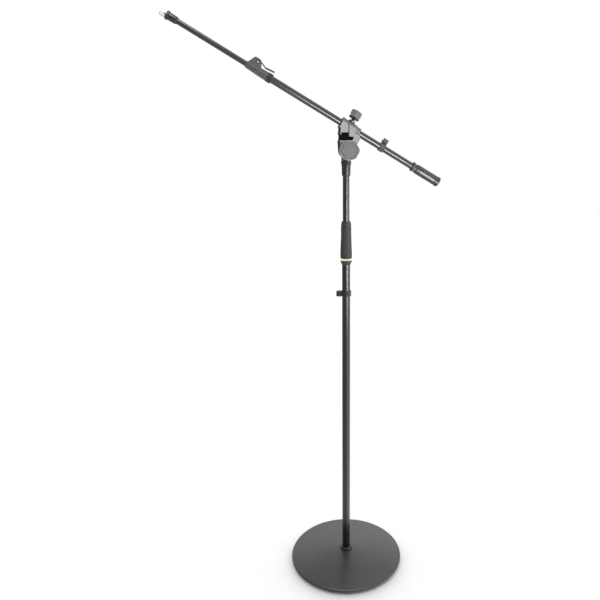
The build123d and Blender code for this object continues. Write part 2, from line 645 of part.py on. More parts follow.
with BuildPart() as lock_sleeve:
    with BuildSketch(boom_side):
        with BuildLine():
            Polyline(
                (SLEEVE_REAR, BOOM_TUBE_R + SEAT), (SLEEVE_REAR, 9.0), (COLLAR_FRONT, 9.0),
                (COLLAR_FRONT, 10.0),
                (OUTER_TUBE_FRONT, 9.4), (SLEEVE_FRONT - 1, 7.9), (SLEEVE_FRONT, 7.2),
                (SLEEVE_FRONT, INNER_TUBE_R + 0.3), (OUTER_TUBE_FRONT + 0.2, INNER_TUBE_R + 0.3),
                (OUTER_TUBE_FRONT + 0.2, BOOM_TUBE_R + SEAT), close=True,
            )
        make_face()
    revolve(axis=boom_axis)
    for near, far in ((EAR_INNER, EAR_OUTER), (-EAR_OUTER, -EAR_INNER)):
        with BuildSketch(boom_side.offset(near)) as ear_outline:
            with BuildLine():
                Polyline(
                    (289.0, 4.0), (289.0, 6.0), (280.8, 24.0), (265.0, 23.6), (257.6, 8.0), (257.6, 6.5),
                    close=True,
                )
            make_face()
            fillet(ear_outline.vertices().sort_by(boom_axis)[2:4], 5.5)
        extrude(amount=far - near)
    # The ears end at the sleeve's wall, so the two bores are cut again.
    with BuildSketch(boom_cross.offset(SLEEVE_REAR)):
        Circle(BOOM_TUBE_R + SEAT)
    extrude(amount=OUTER_TUBE_FRONT + 0.2 - SLEEVE_REAR, mode=Mode.SUBTRACT)
    with BuildSketch(boom_cross.offset(OUTER_TUBE_FRONT)):
        Circle(INNER_TUBE_R + 0.3)
    extrude(amount=SLEEVE_FRONT - OUTER_TUBE_FRONT + 1, mode=Mode.SUBTRACT)
    with BuildSketch(lever_side):
        Circle(EYELET_R + SEAT)
    extrude(amount=EAR_OUTER + 1, both=True, mode=Mode.SUBTRACT)
    with BuildSketch(lock_cross):
        Circle(3.2)
    extrude(amount=12.0, mode=Mode.SUBTRACT)

with BuildPart() as lock_rear_collar:
    with BuildSketch(boom_side):
        with BuildLine():
            Polyline(
                (SLEEVE_REAR + 0.3, 9.02), (SLEEVE_REAR + 0.3, 9.9), (SLEEVE_REAR + 1.3, 10.7),
                (COLLAR_FRONT - 1.1, 10.7), (COLLAR_FRONT - 0.1, 10.1), (COLLAR_FRONT - 0.1, 9.02),
                close=True,
            )
        make_face()
    revolve(axis=boom_axis)

with BuildPart() as lock_eyelet:
    with BuildSketch(lever_side):
        Circle(EYELET_R)
    extrude(amount=EAR_OUTER, both=True)
    for side in (-1, 1):
        with BuildSketch(lever_side.offset(side * EAR_OUTER)):
            Circle(EYELET_R + 0.9)
        extrude(amount=side * 0.7)
    with BuildSketch(lever_side):
        Circle(EYELET_BORE_R)
    extrude(amount=EAR_OUTER + 2, both=True, mode=Mode.SUBTRACT)

LEVER_HALF, TAIL_HALF = 3.35, 6.0
with BuildPart() as lock_lever:
    # Hub and blade, seen from the side: the blade drops to the rear, then the finger tail kicks up.
    with BuildSketch(lever_side):
        Circle(5.2)
        with BuildLine():
            Polyline(
                (0, 5.2), (-5.0, 5.0), (-20.5, -1.6), (-22.4, -1.4), (-22.4, -3.7), (-21.0, -3.9),
                (-6.0, 2.7), (0, 2.7), close=True,
            )
        make_face()
        Circle(EYELET_R + SLIP, mode=Mode.SUBTRACT)
    extrude(amount=LEVER_HALF, both=True)
    with BuildSketch(lever_side):
        with BuildLine():
            Polyline((-22.0, -1.45), (-42.5, 0.5), (-42.7, -1.7), (-22.0, -3.8), close=True)
        make_face()
    extrude(amount=TAIL_HALF, both=True)
    fillet(lock_lever.faces().sort_by(boom_axis)[0].edges(), 0.9)

with BuildPart() as lock_shoe:
    with BuildSketch(lock_cross.offset(INNER_TUBE_R + 0.35)):
        Circle(3.1)
    extrude(amount=5.2)

# =========================================================================================================
# Inner boom tube, guide and microphone end
# =========================================================================================================
GUIDE_LENGTH = 20.0
GUIDE_JOURNAL_R = 3.6

with BuildPart() as boom_inner_tube:
    with BuildSketch(boom_cross.offset(INNER_TUBE_REAR)):
        Circle(INNER_TUBE_R)
        Circle(INNER_TUBE_BORE_R, mode=Mode.SUBTRACT)
    extrude(amount=INNER_TUBE_FRONT - INNER_TUBE_REAR)

with BuildPart() as inner_tube_plug:
    with BuildSketch(boom_side):
        with BuildLine():
            Polyline(
                (INNER_TUBE_REAR + 20, 0), (INNER_TUBE_REAR + 20, INNER_TUBE_BORE_R - SEAT),
                (INNER_TUBE_REAR, INNER_TUBE_BORE_R - SEAT), (INNER_TUBE_REAR, GUIDE_JOURNAL_R),
                (INNER_TUBE_REAR - GUIDE_LENGTH - 0.8, GUIDE_JOURNAL_R),
                (INNER_TUBE_REAR - GUIDE_LENGTH - 0.8, 5.6), (INNER_TUBE_REAR - GUIDE_LENGTH - 4, 5.6),
                (INNER_TUBE_REAR - GUIDE_LENGTH - 4, 0), close=True,
            )
        make_face()
    revolve(axis=boom_axis)

with BuildPart() as boom_guide_bush:
    with BuildSketch(boom_cross.offset(INNER_TUBE_REAR - GUIDE_LENGTH - 0.4)):
        Circle(BOOM_TUBE_BORE_R - SLIP)
        Circle(GUIDE_JOURNAL_R + SLIP, mode=Mode.SUBTRACT)
    extrude(amount=GUIDE_LENGTH)

with BuildPart() as mic_end_fitting:
    with BuildSketch(boom_side):
        with BuildLine():
            Polyline(
                (FITTING_REAR, INNER_TUBE_R + SEAT), (FITTING_REAR, 7.0), (FITTING_REAR + 4, 8.25),
                (FITTING_FRONT, 8.25), (FITTING_FRONT, STUD_R), (ADAPTER_FRONT - 2, STUD_R),
                (ADAPTER_FRONT - 1.4, STUD_R - 0.6), (ADAPTER_FRONT - 1.4, 0), (INNER_TUBE_FRONT + 0.1, 0),
                (INNER_TUBE_FRONT + 0.1, INNER_TUBE_R + SEAT), close=True,
            )
        make_face()
    revolve(axis=boom_axis)

with BuildPart() as mic_end_ring:
    with BuildSketch(boom_cross.offset(FITTING_FRONT + 0.1)):
        Circle(10.1)
        Circle(STUD_R + SEAT, mode=Mode.SUBTRACT)
    extrude(amount=5.4)
    chamfer(mic_end_ring.edges().filter_by(GeomType.CIRCLE).sort_by(SortBy.RADIUS)[-2:], 0.9)

with BuildPart() as thread_adapter:
    with BuildSketch(boom_cross.offset(ADAPTER_REAR)):
        Circle(ADAPTER_R)
        Circle(STUD_R + SLIP, mode=Mode.SUBTRACT)
    extrude(amount=ADAPTER_FRONT - ADAPTER_REAR)
    with BuildSketch(boom_cross.offset(ADAPTER_FRONT - 1.2)):
        Rectangle(2.0, 20.0)
    extrude(amount=1.3, mode=Mode.SUBTRACT)

# =========================================================================================================
# One STEP file for each piece
# =========================================================================================================
pieces = {
    "base_plate": base_plate, "base_rubber_ring": base_rubber_ring, "base_washer": base_washer,
    "base_bolt": base_bolt, "base_cap": base_cap, "foot_insert": foot_insert, "foot_collar": foot_collar,
    "lower_tube": lower_tube,
    "clutch_body": clutch_body, "clutch_cup": clutch_cup, "clutch_colour_ring": clutch_colour_ring,
    "clutch_collet": clutch_collet, "clutch_grip": clutch_grip, "clutch_wiper": clutch_wiper,
    "mast_cable_clip": mast_cable_clip, "upper_tube": upper_tube, "upper_tube_plug": upper_tube_plug,
    "mast_guide_bush": mast_guide_bush, "mast_top_stud": mast_top_stud, "socket_sleeve": socket_sleeve,
    "socket_lock_ring": socket_lock_ring, "head_base": head_base, "friction_discs": friction_discs,
    "boom_holder": boom_holder, "pivot_bolt": pivot_bolt, "knob_washer": knob_washer,
    "clamp_shoe": clamp_shoe, "clamp_liner": clamp_liner, "tilt_knob_insert": tilt_knob_insert,
    "tilt_knob_flange": tilt_knob_flange, "tilt_knob_ring": tilt_knob_ring, "tilt_knob_cap": tilt_knob_cap,
    "clamp_screw": clamp_screw, "clamp_knob_flange": clamp_knob_flange, "clamp_knob_ring": clamp_knob_ring,
    "clamp_knob_cap": clamp_knob_cap, "boom_outer_tube": boom_outer_tube,
    "boom_cable_clip": boom_cable_clip, "boom_end_plug": boom_end_plug, "weight_core": weight_core,
    "weight_grip": weight_grip, "weight_front_collar": weight_front_collar,
    "weight_end_cap": weight_end_cap, "weight_end_screw": weight_end_screw, "lock_sleeve": lock_sleeve,
    "lock_rear_collar": lock_rear_collar, "lock_eyelet": lock_eyelet, "lock_lever": lock_lever,
    "lock_shoe": lock_shoe, "boom_inner_tube": boom_inner_tube, "inner_tube_plug": inner_tube_plug,
    "boom_guide_bush": boom_guide_bush, "mic_end_fitting": mic_end_fitting, "mic_end_ring": mic_end_ring,
    "thread_adapter": thread_adapter,
}

os.makedirs("parts", exist_ok=True)
for name, piece in pieces.items():
    piece.part.label = name
    export_step(piece.part, f"parts/{name}.step")
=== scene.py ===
"""Looks of the boom microphone stand: pieces, materials, studio light and camera round the CAD frame.

Pieces are drawn in millimetres in a Place, whose origin and axes come from the record's joints. Their ends
and radii are read from the CAD nodes that they stand for.
"""

import json
from math import cos, pi, radians, sin, sqrt, tan

import bmesh
import bpy
import numpy as np
from mathutils import Matrix, Vector


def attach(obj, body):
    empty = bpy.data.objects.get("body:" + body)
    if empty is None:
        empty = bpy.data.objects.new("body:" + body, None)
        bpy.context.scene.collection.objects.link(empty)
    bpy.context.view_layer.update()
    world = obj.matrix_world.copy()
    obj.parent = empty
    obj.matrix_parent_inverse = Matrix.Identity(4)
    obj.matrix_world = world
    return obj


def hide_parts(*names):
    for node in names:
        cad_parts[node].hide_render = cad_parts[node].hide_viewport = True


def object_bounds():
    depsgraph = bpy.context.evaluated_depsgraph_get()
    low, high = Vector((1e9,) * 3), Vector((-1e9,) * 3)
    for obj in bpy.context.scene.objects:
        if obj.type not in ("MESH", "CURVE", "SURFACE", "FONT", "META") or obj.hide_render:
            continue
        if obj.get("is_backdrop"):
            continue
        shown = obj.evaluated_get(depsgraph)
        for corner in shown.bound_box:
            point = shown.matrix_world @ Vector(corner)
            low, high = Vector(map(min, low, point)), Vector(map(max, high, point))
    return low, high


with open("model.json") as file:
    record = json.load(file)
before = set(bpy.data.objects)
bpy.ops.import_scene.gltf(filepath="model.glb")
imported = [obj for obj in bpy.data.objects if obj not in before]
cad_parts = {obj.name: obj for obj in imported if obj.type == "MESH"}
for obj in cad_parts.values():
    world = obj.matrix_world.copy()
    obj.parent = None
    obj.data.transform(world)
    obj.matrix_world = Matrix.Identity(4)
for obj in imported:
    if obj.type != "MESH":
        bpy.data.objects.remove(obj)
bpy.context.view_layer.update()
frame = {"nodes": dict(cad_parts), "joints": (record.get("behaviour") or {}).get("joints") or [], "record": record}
scene = bpy.context.scene
MM = 0.001
TOUCHES_AXIS = 1e-6


# ---- places -----------------------------------------------------------------------------------------
class Place:
    """An origin in metres with a z axis and an x axis, in which a piece is drawn in millimetres."""

    def __init__(self, origin, along, across):
        z = Vector(along).normalized()
        y = z.cross(Vector(across)).normalized()
        axes = Matrix((y.cross(z), y, z)).transposed().to_4x4()
        self.matrix = Matrix.Translation(Vector(origin)) @ axes

    def span(self, node):
        """Lowest and highest z and the largest radius of a CAD node."""
        inverse = self.matrix.inverted()
        points = np.array([inverse @ v.co for v in frame["nodes"][node].data.vertices]) / MM
        return points[:, 2].min(), points[:, 2].max(), np.hypot(points[:, 0], points[:, 1]).max()


joints = {joint["name"]: joint for joint in frame["joints"]}
pivot = Vector(joints["boom_tilt"]["pos_m"])
front = Vector(joints["boom_slide"]["axis"])
normal = Vector(joints["clamp_knob_turn"]["axis"])
on_boom = Vector(joints["boom_roll"]["pos_m"])
on_clamp = Vector(joints["clamp_knob_turn"]["pos_m"])
on_lever = Vector(joints["lock_lever_lift"]["pos_m"])
boom_foot = on_boom + front * (pivot - on_boom).dot(front)
clamp_point = boom_foot + front * (on_clamp - boom_foot).dot(front)

MAST = Place((0, 0, 0), (0, 0, 1), (1, 0, 0))
BOOM = Place(boom_foot, front, normal)
CLAMP = Place(clamp_point, normal, front)
PIVOT = Place(pivot, (0, -1, 0), (1, 0, 0))
LEVER = Place(on_lever, (0, -1, 0), front)


# ---- shapes -----------------------------------------------------------------------------------------
def soften(points, steps=5, closed=False):
    """A polyline of (r, h) or (r, h, size) points, rounded by size at each point that has one."""
    rounded = []
    last = len(points) - 1
    for index, point in enumerate(points):
        corner = Vector(point[:2])
        if len(point) == 2 or (not closed and index in (0, last)):
            rounded.append(tuple(corner))
            continue
        before = Vector(points[index - 1][:2]) - corner
        after = Vector(points[(index + 1) % len(points)][:2]) - corner
        start = corner + before.normalized() * min(point[2], before.length / 2)
        end = corner + after.normalized() * min(point[2], after.length / 2)
        for step in range(steps + 1):
            t = step / steps
            rounded.append(tuple(start * (1 - t) ** 2 + corner * 2 * t * (1 - t) + end * t * t))
    return rounded


def divide(points, step):
    """The same polyline with extra points, none further apart than step."""
    fine = [points[0]]
    for (r0, h0), (r1, h1) in zip(points, points[1:]):
        parts = max(1, int(np.ceil(np.hypot(r1 - r0, h1 - h0) / step)))
        fine += [(r0 + (r1 - r0) * k / parts, h0 + (h1 - h0) * k / parts) for k in range(1, parts + 1)]
    return fine


def divide_long(points, step):
    """A closed outline whose long straight runs are cut into shorter ones."""
    return divide(points + [points[0]], step)[:-1]


def lathe(profile, segments=96, wave=None, closed=True):
    """Turns an (r, h) profile about z. wave(angle, r, h) moves a point outwards. Closed makes a ring."""
    angles = 2 * pi * np.arange(segments) / segments
    points, rings = [], []
    for r, h in profile:
        if r < TOUCHES_AXIS:
            rings.append([len(points)])
            points.append((0.0, 0.0, h))
            continue
        radii = np.full(segments, r) if wave is None else r + wave(angles, r, h)
        rings.append(range(len(points), len(points) + segments))
        points += zip(radii * np.cos(angles), radii * np.sin(angles), np.full(segments, h))
    pairs = list(zip(rings, rings[1:]))
    if closed:
        pairs.append((rings[-1], rings[0]))
    faces = []
    for low, high in pairs:
        for k in range(segments):
            n = (k + 1) % segments
            if len(low) == 1:
                faces.append((low[0], high[n], high[k]))
            elif len(high) == 1:
                faces.append((low[k], low[n], high[0]))
            else:
                faces.append((low[k], low[n], high[n], high[k]))
    return points, faces


def ramp(value, low, high):
    """Rises smoothly from 0 at low to 1 at high."""
    t = min(max((value - low) / (high - low), 0.0), 1.0)
    return t * t * (3 - 2 * t)


def ribs(count, depth, start, end, fade=2.0, sharpness=1.0):
    """Lengthwise grooves between two heights, cut into the surface and fading out at both ends."""
    def wave(angle, r, h):
        amount = ramp(h, start, start + fade) * (1 - ramp(h, end - fade, end))
        return -depth * amount * (0.5 - 0.5 * np.cos(count * angle)) ** sharpness
    return wave


def knurl(count, depth, pitch, start, end, fade=0.5):
    """A diamond knurl: two crossing spirals of grooves between two heights."""
    def wave(angle, r, h):
        amount = ramp(h, start, start + fade) * (1 - ramp(h, end - fade, end))
        turn = 2 * pi * h / pitch
        one_way, other_way = np.cos(count * angle + turn), np.cos(count * angle - turn)
        return -depth * amount * (0.5 - 0.25 * one_way - 0.25 * other_way)
    return wave


def thread(depth, pitch, start, end):
    """A right-hand screw thread cut into the surface between two heights."""
    def wave(angle, r, h):
        amount = ramp(h, start, start + pitch) * (1 - ramp(h, end - pitch, end))
        phase = (h / pitch - angle / (2 * pi)) % 1.0
        return -depth * amount * (1 - np.abs(2 * phase - 1))
    return wave


def beyond(limit, wave):
    """The same wave, only where the profile lies further out than a radius."""
    return lambda angle, r, h: wave(angle, r, h) if r > limit else 0.0 * angle


def rolled_edge(r, h, radius, gap=0.0):
    """A quarter round from a side at r to a face at h, less an angle at both ends."""
    turns = np.linspace(gap, pi / 2 - gap, 9)
    return [(r - radius + radius * cos(t), h - radius + radius * sin(t)) for t in turns]


def rounded_hexagon(apothem, rounding):
    """How far a hexagon with rounded corners reaches beyond its inscribed circle, at each angle."""
    centre = (apothem - rounding) / cos(pi / 6)

    def reach(angle):
        from_flat = np.abs((angle % (pi / 3)) - pi / 6)
        on_flat = apothem * np.tan(from_flat) <= (apothem - rounding) * tan(pi / 6)
        from_corner = pi / 6 - from_flat
        arc = centre * np.cos(from_corner) + np.sqrt(rounding ** 2 - (centre * np.sin(from_corner)) ** 2)
        return np.where(on_flat, apothem / np.cos(from_flat), arc) - apothem
    return reach


def arc_through(start, middle, end, steps):
    """Points on the circle through three points."""
    ax, ay, bx, by, cx, cy = *start, *middle, *end
    d = 2 * (ax * (by - cy) + bx * (cy - ay) + cx * (ay - by))
    a2, b2, c2 = ax * ax + ay * ay, bx * bx + by * by, cx * cx + cy * cy
    ux = (a2 * (by - cy) + b2 * (cy - ay) + c2 * (ay - by)) / d
    uy = (a2 * (cx - bx) + b2 * (ax - cx) + c2 * (bx - ax)) / d
    first, final = np.arctan2(ay - uy, ax - ux), np.arctan2(cy - uy, cx - ux)
    radius = sqrt((ax - ux) ** 2 + (ay - uy) ** 2)
    return [(ux + radius * np.cos(t), uy + radius * np.sin(t)) for t in np.linspace(first, final, steps)]


# ---- materials --------------------------------------------------------------------------------------
class Graph:
    """The node tree of a material or a world, with short ways to add to it."""

    def __init__(self, owner):
        owner.use_nodes = True
        self.nodes, self.links = owner.node_tree.nodes, owner.node_tree.links

    def feed(self, socket, value):
        """Sets a socket to a value, or links it to another node's output."""
        if isinstance(value, bpy.types.NodeSocket):
            self.links.new(value, socket)
        else:
            socket.default_value = value

    def add(self, kind, *in_order, operation=None, data_type=None, samples=None, **by_name):
        """A node whose sockets are filled in order and then by name."""
        made = self.nodes.new("ShaderNode" + kind)
        for key, value in (("operation", operation), ("data_type", data_type), ("samples", samples)):
            if value is not None:
                setattr(made, key, value)
        for index, value in enumerate(in_order):
            self.feed(made.inputs[index], value)
        for key, value in by_name.items():
            self.feed(made.inputs[key], value)
        return made

    def math(self, operation, *numbers):
        """One number out of others."""
        return self.add("Math", *numbers, operation=operation).outputs["Value"]

    def ramp(self, value, low, high, at_low=0.0, at_high=1.0):
        """Maps low and high to two other numbers, and holds those beyond both ends."""
        ends = {"From Min": low, "From Max": high, "To Min": at_low, "To Max": at_high}
        return self.add("MapRange", Value=value, **ends).outputs["Result"]

    def scale(self, colour, factor):
        """A colour made lighter or darker."""
        return self.add("VectorMath", colour, operation="SCALE", Scale=factor).outputs["Vector"]

    def blend(self, factor, first, second):
        """A colour between two colours."""
        return self.add("Mix", data_type="RGBA", Factor=factor, A=first, B=second).outputs["Result"]

    def choose(self, factor, otherwise, chosen):
        """A number between two numbers."""
        return self.add("Mix", Factor=factor, A=otherwise, B=chosen).outputs["Result"]


BLOTCH_SCALE = 22.0
FINE_DETAIL, BROAD_DETAIL = 4.0, 3.0
NOISE_LOW, NOISE_HIGH = 0.3, 0.7          # the range that a noise value mostly stays in
BOTH_LOW, BOTH_HIGH = 0.7, 1.3            # the same for the sum of two noises
SPECK_CELL, SPECK_CORE, SPECK_RIM = 0.8, 0.14, 0.3
SPECK_LIFT, SPECK_FLOOR = 2.4, 0.02
# Reach, samples and sky-seen range of the painted shade in closed corners
HOLLOW_REACH, HOLLOW_SAMPLES = 14.0, 8
HOLLOW_CLOSED, HOLLOW_OPEN = 0.55, 0.95
EDGE_SAMPLES = 6
RUB_STARTS, RUB_FULL = 0.995, 0.93        # cosine of the turn of a rolled edge
# POCKET_PAINTED_SHADE is painted shade: near-black put in the recess round the middle plane for its shadow
POCKET_PAINTED_SHADE, POCKET_ROUGHNESS, POCKET_EDGE = (0.009, 0.009, 0.009, 1.0), 0.9, 1.0
SIDE_FULL, SIDE_NONE = -0.97, -0.85       # normal X of faces that look along -X, and of the others


def recess(graph, place, half_width):
    """0 in the recess round the middle plane, whose shade is painted, and on faces that look along -X, 1
    elsewhere.
    """
    from_middle = graph.math("ABSOLUTE", graph.add("SeparateXYZ", place["Object"]).outputs["Y"])
    outer = graph.ramp(from_middle, half_width * MM, (half_width + POCKET_EDGE) * MM)
    facing = graph.add("SeparateXYZ", place["Normal"]).outputs["X"]
    return graph.math("MULTIPLY", outer, graph.ramp(facing, SIDE_FULL, SIDE_NONE))


def finish(name, colour, metallic=0.0, roughness=0.4, spread=0.05, tone=0.1, grain=900.0, bump=0.1,
           depth=0.1, coat=0.0, coat_roughness=0.15, specular=0.5, wear=None, speck=0.0, edge=0.0,
           painted_corner_shade=None, pocket_shade_half_width=None):
    """A surface whose colour, roughness and height vary with fine grain and broad blotches.

    speck is the strength of pale specks, edge the radius in mm of rolled edges, wear the colour that they
    are rubbed to, painted_corner_shade the brightness left in closed corners as painted shade, and
    pocket_shade_half_width the half width in mm of the recess round the middle plane, painted dark as shade.
    """
    material = bpy.data.materials.new(name)
    graph = Graph(material)
    shader = graph.nodes["Principled BSDF"]
    shader.inputs["Metallic"].default_value = metallic
    shader.inputs["Specular IOR Level"].default_value = specular
    shader.inputs["Coat Weight"].default_value = coat
    shader.inputs["Coat Roughness"].default_value = coat_roughness

    place = graph.add("TexCoord").outputs
    fine = graph.add("TexNoise", Vector=place["Object"], Scale=grain, Detail=FINE_DETAIL).outputs["Fac"]
    broad = graph.add("TexNoise", Vector=place["Object"], Scale=BLOTCH_SCALE, Detail=BROAD_DETAIL)
    broad = broad.outputs["Fac"]
    tint = graph.ramp(graph.math("ADD", fine, broad), BOTH_LOW, BOTH_HIGH, 1 - tone, 1 + tone)
    surface = graph.scale(colour, tint)
    if speck:
        cells = graph.add("TexVoronoi", Vector=place["Object"], Scale=grain * SPECK_CELL)
        dot = graph.ramp(cells.outputs["Distance"], SPECK_CORE, SPECK_RIM, speck, 0.0)
        pale = (*(channel * SPECK_LIFT + SPECK_FLOOR for channel in colour), 1.0)
        surface = graph.blend(dot, surface, pale)
    # Painted shade: the colour is darkened where ambient occlusion finds closed corners
    if painted_corner_shade:
        sky_seen = graph.add("AmbientOcclusion", samples=HOLLOW_SAMPLES, Distance=HOLLOW_REACH * MM)
        lit = graph.ramp(sky_seen.outputs["AO"], HOLLOW_CLOSED, HOLLOW_OPEN, painted_corner_shade)
        surface = graph.scale(surface, lit)
    if edge:
        rolled = graph.add("Bevel", samples=EDGE_SAMPLES, Radius=edge * MM).outputs["Normal"]
    if edge and wear:
        flat = graph.add("NewGeometry").outputs["Normal"]
        turned_by = graph.add("VectorMath", rolled, flat, operation="DOT_PRODUCT").outputs["Value"]
        rubbed = graph.math("MULTIPLY", graph.ramp(turned_by, RUB_STARTS, RUB_FULL), broad)
        surface = graph.blend(rubbed, surface, (*wear, 1.0))
    rough = graph.ramp(broad, NOISE_LOW, NOISE_HIGH, roughness - spread, roughness + spread)
    # Painted shade: the recess round the middle plane is coloured near-black, and faces along -X are darkened too
    if pocket_shade_half_width:
        outside_darkened = recess(graph, place, pocket_shade_half_width)
        surface = graph.blend(outside_darkened, POCKET_PAINTED_SHADE, surface)
        rough = graph.ramp(outside_darkened, 0.0, 1.0, POCKET_ROUGHNESS, rough)
    relief = graph.add("Bump", Strength=bump, Distance=depth * MM, Height=fine)
    if edge:
        graph.feed(relief.inputs["Normal"], rolled)
    graph.feed(shader.inputs["Base Color"], surface)
    graph.feed(shader.inputs["Roughness"], rough)
    graph.feed(shader.inputs["Normal"], relief.outputs["Normal"])
    return material


WORN_EDGE = (0.22, 0.22, 0.22)
DIE_CAST = dict(metallic=0.6, roughness=0.3, spread=0.04, tone=0.06, grain=420, bump=0.03, depth=0.04,
                wear=WORN_EDGE, edge=1.0)
FINE_MOULDED = dict(grain=1200, tone=0.05, bump=0.06, depth=0.04, roughness=0.3)
FINISHES = {
    "base_casting": finish("cast_powder_coat", (0.034, 0.035, 0.037), roughness=0.32, grain=1500, bump=0.25,
                           depth=0.2, speck=0.2, specular=0.38),
    "tube_black": finish("tube_powder_coat", (0.008, 0.008, 0.009), roughness=0.25, spread=0.02, tone=0.08,
                         grain=300, bump=0.02, depth=0.03, coat=0.3, coat_roughness=0.14),
    # The head casting gets painted shade in its closed corners
    "head_casting": finish("charcoal_die_cast", (0.1, 0.1, 0.101), painted_corner_shade=0.04, **DIE_CAST),
    "moulded_black": finish("moulded_black", (0.014, 0.014, 0.015), roughness=0.27, bump=0.03, depth=0.04,
                            edge=0.6),
    "soft_touch": finish("soft_touch", (0.025, 0.025, 0.026), roughness=0.55, grain=1500, bump=0.15,
                         depth=0.06),
    "knob_grey": finish("knob_grey", (0.145, 0.145, 0.137), roughness=0.45, tone=0.04, grain=1300,
                        bump=0.06, depth=0.04),
    "pale_ring": finish("pale_ring", (0.52, 0.53, 0.45), **FINE_MOULDED),
    "signal_ring": finish("signal_ring", (0.84, 0.88, 0.56), **FINE_MOULDED),
    "zinc_steel": finish("zinc_plate", (0.52, 0.53, 0.54), metallic=1.0, roughness=0.3, spread=0.08,
                         tone=0.12, grain=1200, depth=0.04),
    "black_steel": finish("black_zinc", (0.03, 0.03, 0.032), metallic=0.4, roughness=0.3, spread=0.06,
                          tone=0.15, grain=1400, bump=0.08, depth=0.04, wear=WORN_EDGE, edge=0.5),
    "nickel_plate": finish("nickel_plate", (0.66, 0.655, 0.64), metallic=1.0, roughness=0.22, spread=0.04,
                           tone=0.03, bump=0.03, depth=0.03),
    "friction_fibre": finish("friction_fibre", (0.1, 0.07, 0.045), roughness=0.85, tone=0.3, grain=1800,
                             bump=0.6, depth=0.2),
    "rubber": finish("black_rubber", (0.012, 0.012, 0.012), roughness=0.7, tone=0.15, grain=1600, bump=0.3),
    "weight_rubber": finish("weight_rubber", (0.016, 0.016, 0.017), roughness=0.27, spread=0.03, bump=0.04,
                            depth=0.04, coat=0.2),
}
SATIN_BLACK = finish("moulded_black_satin", (0.075, 0.075, 0.076), roughness=0.42, bump=0.04, depth=0.04,
                     edge=0.6)
# It also carries the painted shade of the pocket round the middle plane
# The boom holder's casting is lighter than head_casting, painted light for what its front panels reflect
CAST_WITH_PAINTED_LIGHT_AND_SHADE = finish("charcoal_die_cast_masked", (0.125, 0.125, 0.126), pocket_shade_half_width=5.0, **DIE_CAST)
OWN_FINISH = {"lock_sleeve": SATIN_BLACK, "boom_cable_clip": SATIN_BLACK, "boom_holder": CAST_WITH_PAINTED_LIGHT_AND_SHADE}

node_slot = {}
for name, node in frame["nodes"].items():
    given = node.data.materials[0].name
    node_slot[name] = next(slot for slot in FINISHES if given.startswith(slot))
    node.data.materials.clear()
    node.data.materials.append(OWN_FINISH.get(name, FINISHES[node_slot[name]]))

node_body = {}
for body, members in frame["record"]["behaviour"]["bodies"].items():
    for node in members:
        node_body[node] = body

# ---- making pieces ----------------------------------------------------------------------------------
SHARP_ANGLE = radians(38)
TUBE_EDGE, TUBE_RUN = 0.35, 60.0


def piece(name, shape, place, node):
    """A mesh in a place that stands for a CAD node, on its body and in its finish."""
    points, faces = shape
    mesh = bpy.data.meshes.new(name)
    mesh.from_pydata([Vector(point) * MM for point in points], [], faces)
    sheet = bmesh.new()
    sheet.from_mesh(mesh)
    bmesh.ops.recalc_face_normals(sheet, faces=sheet.faces)
    sheet.to_mesh(mesh)
    sheet.free()
    mesh.shade_smooth()
    mesh.set_sharp_from_angle(angle=SHARP_ANGLE)
    made = bpy.data.objects.new(name, mesh)
    scene.collection.objects.link(made)
    made.matrix_world = place.matrix
    mesh.materials.append(FINISHES[node_slot[node]])
    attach(made, node_body[node])
    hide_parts(node)
    return made


def turned(name, place, node, outline, steps, segments, run=None, wave=None):
    """A ring turned from a closed outline with softened corners, its long runs cut up for a wave."""
    profile = soften(outline, steps, closed=True)
    if run:
        profile = divide_long(profile, run)
    piece(name, lathe(profile, segments, wave), place, node)


def tube(name, place, node, wall, segments=160):
    """A plain drawn tube with softened ends."""
    low, high, r = place.span(node)
    bore = r - wall
    outline = [(r, low, TUBE_EDGE), (r, high, TUBE_EDGE), (bore, high, TUBE_EDGE), (bore, low, TUBE_EDGE)]
    turned(name, place, node, outline, 4, segments, TUBE_RUN)


# ---- base and lower mast ----------------------------------------------------------------------------
# An outline's numbers are (r, h) in millimetres, with the size of a rounding where there is one.
CROWN_MIDDLE, LAND_R = (82.0, 18.8), 20.0
BOLT_HOLE_R, RECESS_R, RECESS_TOP = 5.3, 22.0, 12.0
GROOVE_IN, GROOVE_OUT, GROOVE_TOP = 127.0, 137.0, 4.5
RIM_TOP, RIM_ROUND, RIM_GAP = 10.5, 3.5, 0.12
LOWER_WALL, UPPER_WALL, BOOM_WALL = 1.5, 1.2, 1.0

low, high, r = MAST.span("base_plate")
crown = arc_through((r - RIM_ROUND, RIM_TOP), CROWN_MIDDLE, (LAND_R, high), 48)
rim = [(r - 1.5, low), (r - 0.4, low + 0.5), (r, low + 1.7), (r, RIM_TOP - RIM_ROUND)]
rim += rolled_edge(r, RIM_TOP, RIM_ROUND, RIM_GAP)
underside = [(BOLT_HOLE_R, high), (BOLT_HOLE_R, RECESS_TOP), (RECESS_R, RECESS_TOP), (RECESS_R, low),
             (GROOVE_IN, low), (GROOVE_IN, GROOVE_TOP), (GROOVE_OUT, GROOVE_TOP), (GROOVE_OUT, low)]
piece("base_casting", lathe(rim + crown + underside, 256), MAST, "base_plate")

low, high, r = MAST.span("base_rubber_ring")
inner = GROOVE_IN + 0.2
foot = [(inner, low, 1.0), (inner + 3.0, low, 0.5), (inner + 3.6, low + 0.8, 0.5), (inner + 4.2, low, 0.5),
        (r - 3.0, low, 0.5), (r - 2.4, low + 0.8, 0.5), (r - 1.8, low, 0.5), (r, low, 1.0),
        (r, high, 0.2), (inner, high, 0.2)]
turned("rubber_foot_ring", MAST, "base_rubber_ring", foot, steps=4, segments=200)

